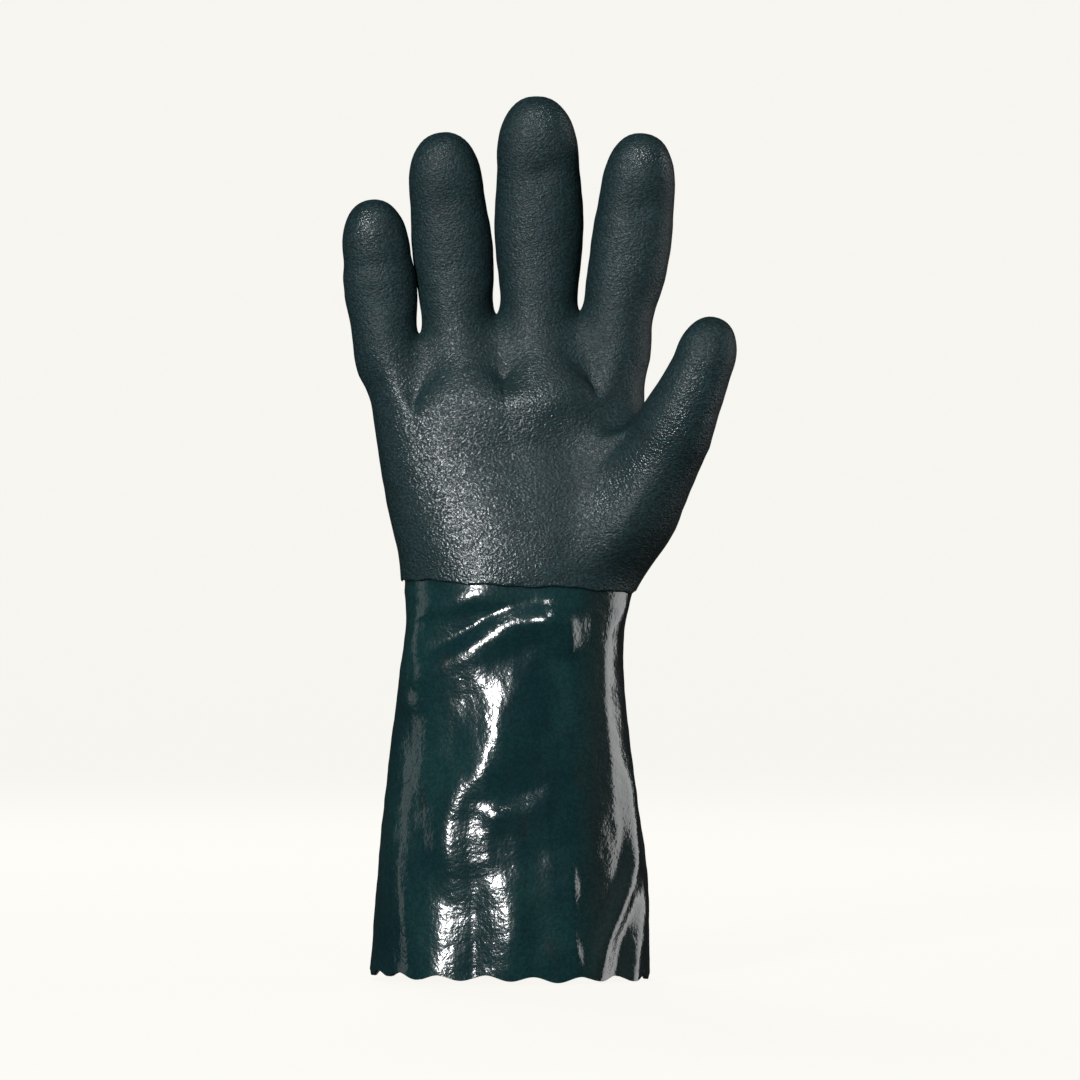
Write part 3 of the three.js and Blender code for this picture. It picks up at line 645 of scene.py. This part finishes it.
    slope = thumb_line(0.0)[1]
    slope = slope / np.linalg.norm(slope)
    side, back = square_to(slope)
    centre = loop.mean(0)
    away = loop - centre
    outward = np.cross(away, np.roll(away, -1, 0)).sum(0)
    outward /= np.linalg.norm(outward)
    step = 2 * np.pi / len(loop) * np.arange(len(loop))
    turned = np.arctan2(away @ back, away @ side) - step
    thumb_angles = step + math.atan2(np.sin(turned).sum(), np.cos(turned).sum())
    thumb_dome = 1 - 0.8 * THUMB_SIZE[0] / THUMB_LENGTH

    def thumb_rings(share):
        """Ovals along the thumb, wide at its root."""
        width = np.interp(share, [0, 0.3, 0.55, 0.8, 1], [1.4, 1.14, 1.02, 1, 0.95]) * THUMB_SIZE[0] / 2
        depth = np.interp(share, [0, 0.3, 0.55, 0.8, 1], [1.36, 1.14, 1.02, 0.98, 0.9]) * THUMB_SIZE[1] / 2
        shut = closing(share, thumb_dome)
        middle, way = thumb_line(share)
        return ring(middle, way, width * shut, depth * shut, thumb_angles)

    root = thumb_rings(np.zeros(1))[0]
    base, free = thumb_rows
    t = (np.arange(base) / base)[:, None, None]
    reach = np.linalg.norm(loop - root, axis=1)[:, None]
    leaving = loop + (root - loop) * t * t * (3 - 2 * t)
    leaving = leaving + outward * 0.45 * reach * t * (1 - t) ** 2 - slope * 0.9 * reach * t * t * (1 - t)
    shares = np.concatenate([np.linspace(0, thumb_dome, free + 1), thumb_dome + (1 - thumb_dome) * over])
    add(np.concatenate([leaving, thumb_rings(shares)]), tip)

    # Points at one place become one
    points, faces = np.vstack(points), np.vstack(faces)
    _, chosen, same = np.unique(np.round(points, 4) + 0.0, axis=0, return_index=True, return_inverse=True)
    same = same.ravel()
    points, faces = points[chosen], same[faces]
    lower = same[:columns]

    # Relaxing towards the neighbours' middle rounds the webs and the thumb's root
    soft = 0.5 * np.clip(1 - distance_to(points, np.vstack(webs + [loop])) / SEAM_REACH, 0, 1)
    soft *= smooth(0, 8, points[:, 2] - GAUNTLET - 3)
    ends = np.vstack([faces[:, [0, 1]], faces[:, [1, 2]], faces[:, [2, 3]], faces[:, [3, 0]]])
    ends = np.unique(np.sort(ends[ends[:, 0] != ends[:, 1]], 1), axis=0)
    here, there = np.concatenate([ends[:, 0], ends[:, 1]]), np.concatenate([ends[:, 1], ends[:, 0]])
    links = np.bincount(here, minlength=len(points))
    for _ in range(round(4 * (front / 4) ** 2)):
        middle = np.stack([np.bincount(here, points[there, n], len(points)) for n in range(3)], -1)
        points = points + (middle / links[:, None] - points) * soft[:, None]
    used = np.unique(faces)
    place = np.zeros(len(points), int)
    place[used] = np.arange(len(used))
    return points[used], place[faces], place[lower]


points, quads, lower = hand(24, 12, (5, 34, 27), 42, 13, (16, 20))
out = facing(points, quads)

# Creases and mounds of the palm side, in the same form as the sleeve's folds
HAND_FOLDS = [
    ("pad under the fingers", [(-36, 238, 0.2), (-22, 235, 1.6), (0, 231, 2.6), (20, 233, 2.4),
                               (34, 236, 0.8)], 9, 6, 5),
    ("palm hollow", [(-24, 212, -0.4), (-8, 211, -1.6), (10, 212, -2.4), (24, 213, -2.2), (36, 216, -0.8)],
     6, 12, 5),
    ("index root hollow", [(52, 250, -0.3), (47, 240, -1.6), (41, 231, -2), (34, 224, -0.6)], 7, 5, 4),
    ("thumb crease", [(50, 226, -0.4), (45, 218, -2), (38, 210, -2), (32, 204, -0.3)], 3.5, 3.5, 1.4),
    ("thumb ball", [(34, 196, 0.3), (40, 186, 1.6), (42, 176, 1.4), (40, 166, 0.4)], 9, 9, 5),
    ("middle pad crease", [(8, 323, -0.6), (13, 324.5, -1.4), (20, 328, -1.2), (26, 332, -0.3)], 4, 4, 2),
    ("index pad crease", [(48, 306, -0.2), (53, 309, -1), (60, 315, -0.9), (64, 318, -0.2)], 5, 5, 3),
    ("ring pad crease", [(-32, 312, -0.2), (-26, 313, -0.8), (-18, 316, -0.5), (-14, 317, -0.1)], 5, 5, 3),
]


def hand_lift(x, y, z):
    """Sum of the palm side's folds and a slight unevenness all round, from just above the coat's edge."""
    front = smooth(0, -8, y + 0.12 * np.maximum(z - 300, 0))
    lift = 0.25 * ripple(x, y, z, 34, 7) + 0.06 * ripple(x, y, z, 9, 8)
    for _, path, left, right, sharp in HAND_FOLDS:
        lift += front * crease(x, z, path, left, right, sharp)
    return lift * smooth(1, 13, z - GAUNTLET - EDGE_TILT / 2) + heel_lift(x, y, z)


points = points + out * hand_lift(*points.T)[:, None]
out = facing(points, quads)

# The dipped edge is a bead: it thickens from nothing as a quarter circle
from_edge = np.clip(distance_to(points, points[lower]) / BEAD, 0, 1)
bead = np.sqrt(np.clip(1 - (1 - from_edge) ** 2, 0, 1))
outer = COAT_FROM + EDGE_WALL + (COAT_TO - COAT_FROM - EDGE_WALL) * bead
coat = wall("grip_coat_pvc", points, out, quads, [lower], COAT_FROM, outer)

# Where the wet coat flowed together it is smoother: the heel, a strip along the thumb, the fingers' ends
GLOSSY_PLACES = [
    ([(-44, 234, 0.3), (-36, 218, 0.45), (-24, 196, 0.55), (-16, 176, 0.8), (-12, 160, 1), (-10, 150, 1)],
     11, 13, 5),
    ([(76, 243, 0.2), (72, 228, 0.5), (60, 214, 0.5), (48, 204, 0.45), (36, 190, 0.3)], 3, 3, 2),
    ([(-11, 238, 0.2), (2, 234, 0.45), (16, 232, 0.4), (26, 230, 0.15)], 9, 8, 5),
    ([(-61, 309, 0.9), (-60, 305, 0.4)], 2.5, 3, 1.5),
    ([(-38, 342, 0.4), (-28, 341, 0.3)], 3, 3, 1.5),
    ([(14, 351, 0.5), (18, 347, 0.6)], 2.5, 2.5, 1),
    ([(54, 331, 0.5), (60, 330, 0.5)], 2.5, 2.5, 1),
]
gloss = 0.04 + 0.03 * ripple(*points.T, 40, 11)
for path, left, right, sharp in GLOSSY_PLACES:
    gloss += crease(points[:, 0], points[:, 2], path, left, right, sharp)
gloss = np.clip(gloss, 0, 1).astype(np.float32)
coat.data.attributes.new("gloss", "FLOAT", "POINT").data.foreach_set("value", np.tile(gloss, 2))

rough = Finish("grip_pvc")
stretched = rough.node("ShaderNodeMapping", {}, {
    "Vector": rough.place, "Rotation": (0, 0.35, 0), "Scale": (1, 1, 1.35),
})
pebbles = rough.node("ShaderNodeTexVoronoi", {"feature": "SMOOTH_F1"}, {
    "Vector": stretched, "Scale": 950.0, "Smoothness": 0.6, "Randomness": 1.0}, "Distance")
crumbs = rough.noise(820, 2, 0.6, stretched, 0.3)
height = crumbs * 1.1 - pebbles * 0.7
patches = rough.noise(34, 3)
colour = rough.blend(patches.between(0.3, 0.7), (0.0056, 0.0180, 0.0208, 1), (0.0080, 0.0228, 0.0258, 1))
# Where the crumbs lie low the colour darkens: painted shade in the hollows of the grain.
colour = rough.blend(crumbs.between(0.62, 0.42) * 0.75, colour, (0.0020, 0.0048, 0.0054, 1))
relief = rough.node("ShaderNodeBump", {}, {"Strength": 1.0, "Distance": 0.00034, "Height": height})
matte = rough.node("ShaderNodeBsdfPrincipled", {}, {
    "Base Color": colour, "Roughness": 0.6, "Specular IOR Level": 0.2, "Normal": relief,
})
smoother = rough.node("ShaderNodeBsdfPrincipled", {}, {
    "Base Color": colour, "Roughness": 0.19 + crumbs * 0.06, "IOR": 1.5, "Normal": relief,
})
gloss = rough.node("ShaderNodeAttribute", {"attribute_name": "gloss"}, {}, "Fac")
tops = crumbs.between(0.44, 0.60) * 1.5 + 0.4
rough.cover(coat, rough.node("ShaderNodeMixShader", {}, {0: gloss * tops, 1: matte, 2: smoother}))
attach(coat, "root")
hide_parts("grip_coat")


# The lining
# The cotton glove that was dipped: brushed knit, stained by the PVC that soaked into it. It is bonded to the
# whole inside, and shows at the hem and in the open cuff.

# The lining lies between these two distances from the skin
LINING = (-1.7, -0.85)
LINING_FRONT, LINING_CORNER = 16, 8
LINING_ROWS = 96

hand_points, hand_quads, hand_lower = hand(LINING_FRONT, LINING_CORNER, (5, 20, 16), 24, 8, (10, 12))
columns = 2 * (4 * LINING_FRONT + LINING_CORNER)
angle = column_angle(np.arange(columns), columns, LINING_CORNER)[None, :]
sleeve, lower_quads = sleeve_skin(angle, np.linspace(0, 1, LINING_ROWS)[:-1][:, None])
highest = np.arange(len(sleeve) - columns, len(sleeve))
start = hand_lower + len(sleeve)
join = np.stack([highest, np.roll(highest, -1), np.roll(start, -1), start], -1)
hand_points = hand_points + facing(hand_points, hand_quads) * hand_lift(*hand_points.T)[:, None]
points = np.vstack([sleeve, hand_points])
quads = np.vstack([lower_quads, join, hand_quads + len(sleeve)])
out = facing(points, quads)
lining = wall("cotton_lining", points, out, quads, [np.arange(columns)], *LINING)

knit = Finish("lining_knit")
loops = knit.node("ShaderNodeTexWave", {"bands_direction": "Z", "wave_profile": "SIN"}, {
    "Vector": knit.place, "Scale": 210.0, "Distortion": 2.5, "Detail": 2.0, "Detail Scale": 3.0}, "Fac")
fuzz = knit.noise(1400, 3)
stain = knit.noise(40, 3)
colour = knit.blend(stain.between(0.35, 0.7), (0.42, 0.38, 0.30, 1), (0.20, 0.21, 0.18, 1))
colour = knit.blend((1 - loops) * 0.35, colour, (0.12, 0.11, 0.09, 1))
relief = knit.node("ShaderNodeBump", {}, {
    "Strength": 0.8, "Distance": 0.0006, "Height": loops * 0.6 + fuzz * 0.4,
})
knit.cover(lining, knit.node("ShaderNodeBsdfPrincipled", {}, {
    "Base Color": colour, "Roughness": 0.9, "Normal": relief,
}))
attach(lining, "root")
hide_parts("base_shell")


# The studio
# A pale floor that rises all round into a wall, so that each side of the glove is seen against it, one large
# soft light from the upper left, a panel on the right that draws the long reflections, a weak fill, and one
# light behind and above that shows the back.
WORLD_GREY = (0.020, 0.021, 0.022, 1)

BOWL_COLUMNS = 96
FLOOR = 3600.0
BEND = 900.0
WALL_TOP = 6000.0
BELOW_HEM = 1.6

turn = (np.arange(BOWL_COLUMNS) / BOWL_COLUMNS * 2 * np.pi)[None, :]
arc = np.linspace(0, np.pi / 2, 16)[1:]
radius = np.concatenate([[0.5, FLOOR / 3, FLOOR], FLOOR + BEND * np.sin(arc), [FLOOR + BEND]])[:, None]
height = np.concatenate([[0, 0, 0], BEND - BEND * np.cos(arc), [WALL_TOP]])[:, None] - BELOW_HEM
bowl = np.stack(np.broadcast_arrays(radius * np.cos(turn), radius * np.sin(turn), height), -1)
bowl_mesh = bpy.data.meshes.new("bowl")
bowl_quads = grid_quads(*bowl.shape[:2])[:, ::-1]
bowl_mesh.from_pydata((bowl.reshape(-1, 3) / 1000).tolist(), [], bowl_quads.tolist())
bowl_mesh.shade_smooth()
bowl = bpy.data.objects.new("bowl", bowl_mesh)
bpy.context.scene.collection.objects.link(bowl)
bowl.visible_glossy = False
bowl.visible_diffuse = False
paper = Finish("paper")
paper.cover(bowl, paper.node("ShaderNodeBsdfPrincipled", {}, {
    "Base Color": (0.025, 0.025, 0.024, 1), "Roughness": 1.0, "Specular IOR Level": 0.0,
    "Emission Color": (0.93, 0.92, 0.88, 1), "Emission Strength": 0.992,
}))


def soft_light(name, place, target, size, power):
    """A rectangular area light at a place, turned to a target, both in metres."""
    lamp = bpy.data.lights.new(name, "AREA")
    lamp.shape, lamp.size, lamp.size_y, lamp.energy = "RECTANGLE", *size, power
    light = bpy.data.objects.new(name, lamp)
    way = np.subtract(target, place)
    light.visible_camera = False
    light.location = place
    light.rotation_euler = (
        math.acos(-way[2] / np.linalg.norm(way)),
        0,
        math.atan2(way[1], way[0]) - math.pi / 2,
    )
    bpy.context.scene.collection.objects.link(light)
    return light


soft_light("key", (-0.76, -1.88, 0.72), (0, 0, 0.18), (0.26, 0.90), 86)
soft_light("top", (0.35, -1.10, 1.60), (0, 0, 0.25), (0.20, 0.20), 8)
soft_light("panel", (1.45, 0.30, 0.20), (0, 0, 0.15), (0.95, 1.4), 16)
soft_light("fill", (-1.7, 0.15, 0.3), (0, 0, 0.18), (0.4, 0.8), 0.95)
behind = soft_light("behind", (-0.35, 1.45, 1.35), (0, 0, 0.18), (0.8, 0.5), 60)
behind.visible_glossy = False

world = bpy.data.worlds.new("studio")
world.use_nodes = True
world.node_tree.nodes["Background"].inputs["Color"].default_value = WORLD_GREY
world.node_tree.nodes["Background"].inputs["Strength"].default_value = 1.0
scene = bpy.context.scene
scene.world = world
scene.view_settings.view_transform = "Standard"

DISTANCE = 2.75
FRAME_WIDTH = 0.4382
lens = bpy.data.cameras.new("front")
lens.sensor_width = 36
lens.lens = 36 * DISTANCE / FRAME_WIDTH
camera = bpy.data.objects.new("front", lens)
camera.location = (0.0121, -DISTANCE, 0.1765)
camera.rotation_euler = (math.pi / 2, 0, 0)
scene.collection.objects.link(camera)
scene.camera = camera

bpy.context.view_layer.update()
